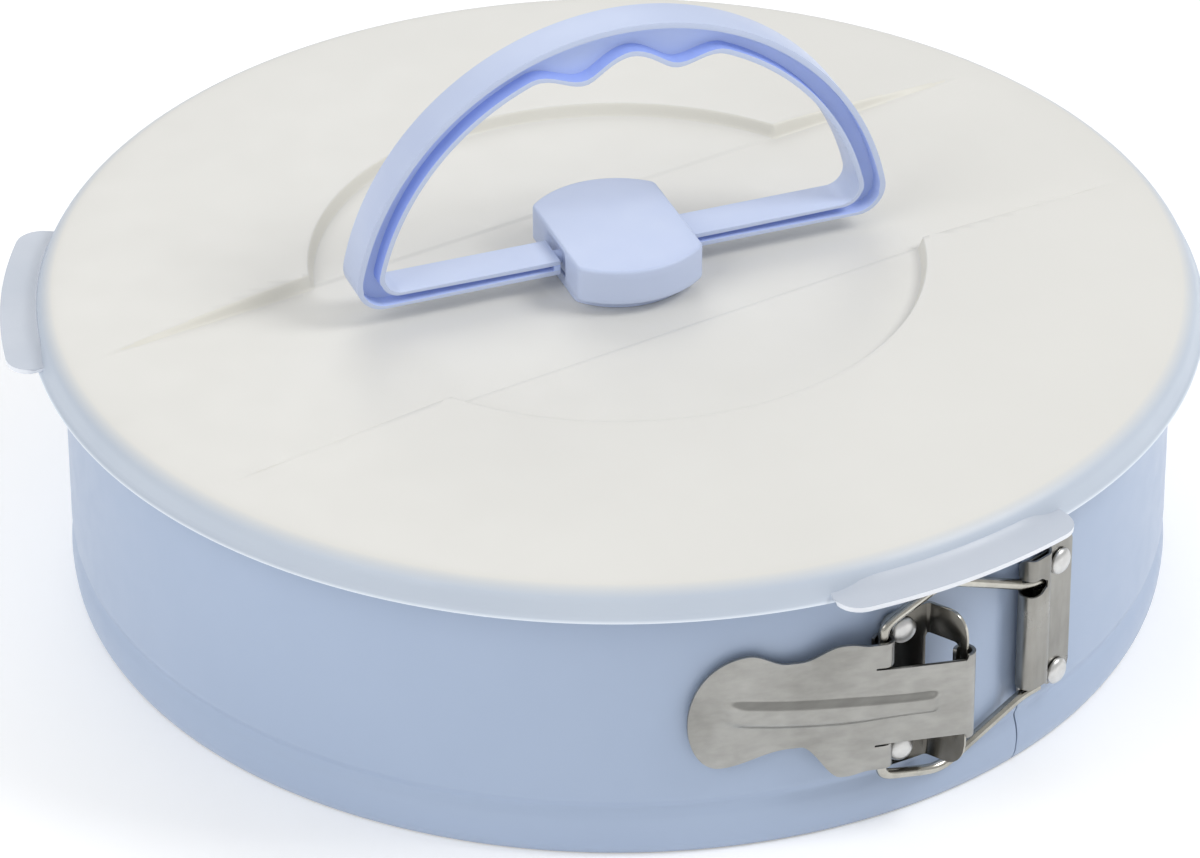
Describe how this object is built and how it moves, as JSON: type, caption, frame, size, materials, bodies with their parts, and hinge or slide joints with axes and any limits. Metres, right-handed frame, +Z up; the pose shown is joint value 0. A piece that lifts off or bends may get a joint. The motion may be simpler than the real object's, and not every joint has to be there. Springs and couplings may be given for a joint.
{
  "type": "springform pan",
  "caption": "Round springform cake pan with an over-centre latch on its split ring, a loose base and a domed lid with a folding carry handle.",
  "frame": {"origin": "centre of the base plate's flat underside, on the table", "axes": "+Z up, -Y towards the front latch, under the lid's front tab"},
  "size_m": [0.2772, 0.284, 0.1435],
  "materials": {
    "blue_wall": "smooth light blue coating",
    "latch_steel": "plated steel",
    "rivet_steel": "bright steel",
    "base_coating": "smooth cream coating",
    "frosted_lid": "frosted translucent plastic",
    "blue_plastic": "satin light blue plastic"
  },
  "bodies": {
    "base": {"base_plate": "base_coating"},
    "band_left": {"ring_band_left": "blue_wall", "lever_bracket": "latch_steel", "lever_bracket_rivet_upper": "rivet_steel", "lever_bracket_rivet_lower": "rivet_steel"},
    "band_right": {"ring_band_right": "blue_wall", "catch_bracket": "latch_steel", "catch_rivet_upper": "rivet_steel", "catch_rivet_lower": "rivet_steel", "bail_catch_bar": "latch_steel"},
    "lever": {"latch_lever": "latch_steel"},
    "bail": {"bail_wire": "latch_steel"},
    "lid": {"lid": "frosted_lid"},
    "hub": {"hub_cap": "blue_plastic", "hub_foot": "blue_plastic", "hub_washer": "latch_steel", "hub_screw": "latch_steel"},
    "handle": {"handle": "blue_plastic"}
  },
  "joints": [
    {"name": "lever_swing", "type": "hinge", "parent": "band_left", "child": "lever", "pos_m": [0.00184, -0.14059, 0.036], "axis": [0, 0, 1], "range_deg": [0, 132.5]},
    {"name": "bail_swing", "type": "hinge", "parent": "lever", "child": "bail", "pos_m": [-0.01573, -0.13388, 0.036], "axis": [0, 0, 1], "range_deg": [-93.2, 0]},
    {"name": "band_left_open", "type": "hinge", "parent": "base", "child": "band_left", "pos_m": [-0.03372, 0.12762, 0.036], "axis": [0, 0, 1], "range_deg": [-1.4, 0]},
    {"name": "band_right_open", "type": "hinge", "parent": "base", "child": "band_right", "pos_m": [-0.03372, 0.12762, 0.036], "axis": [0, 0, 1], "range_deg": [0, 1.4]},
    {"name": "lid_lift", "type": "slide", "parent": "base", "child": "lid", "axis": [0, 0, 1], "range_m": [0, 0.12]},
    {"name": "hub_swivel", "type": "hinge", "parent": "lid", "child": "hub", "pos_m": [0, 0, 0.078], "axis": [0, 0, 1], "continuous": true},
    {"name": "handle_fold", "type": "hinge", "parent": "hub", "child": "handle", "pos_m": [0, 0, 0.0827], "axis": [0.9792, -0.2028, 0], "range_deg": [-88, 88]}
  ],
  "couplings": [
    {"joint": "bail_swing", "follows": "lever_swing", "ratio": -0.70183},
    {"joint": "band_left_open", "follows": "lever_swing", "ratio": -0.010561},
    {"joint": "band_right_open", "follows": "lever_swing", "ratio": 0.010561}
  ]
}
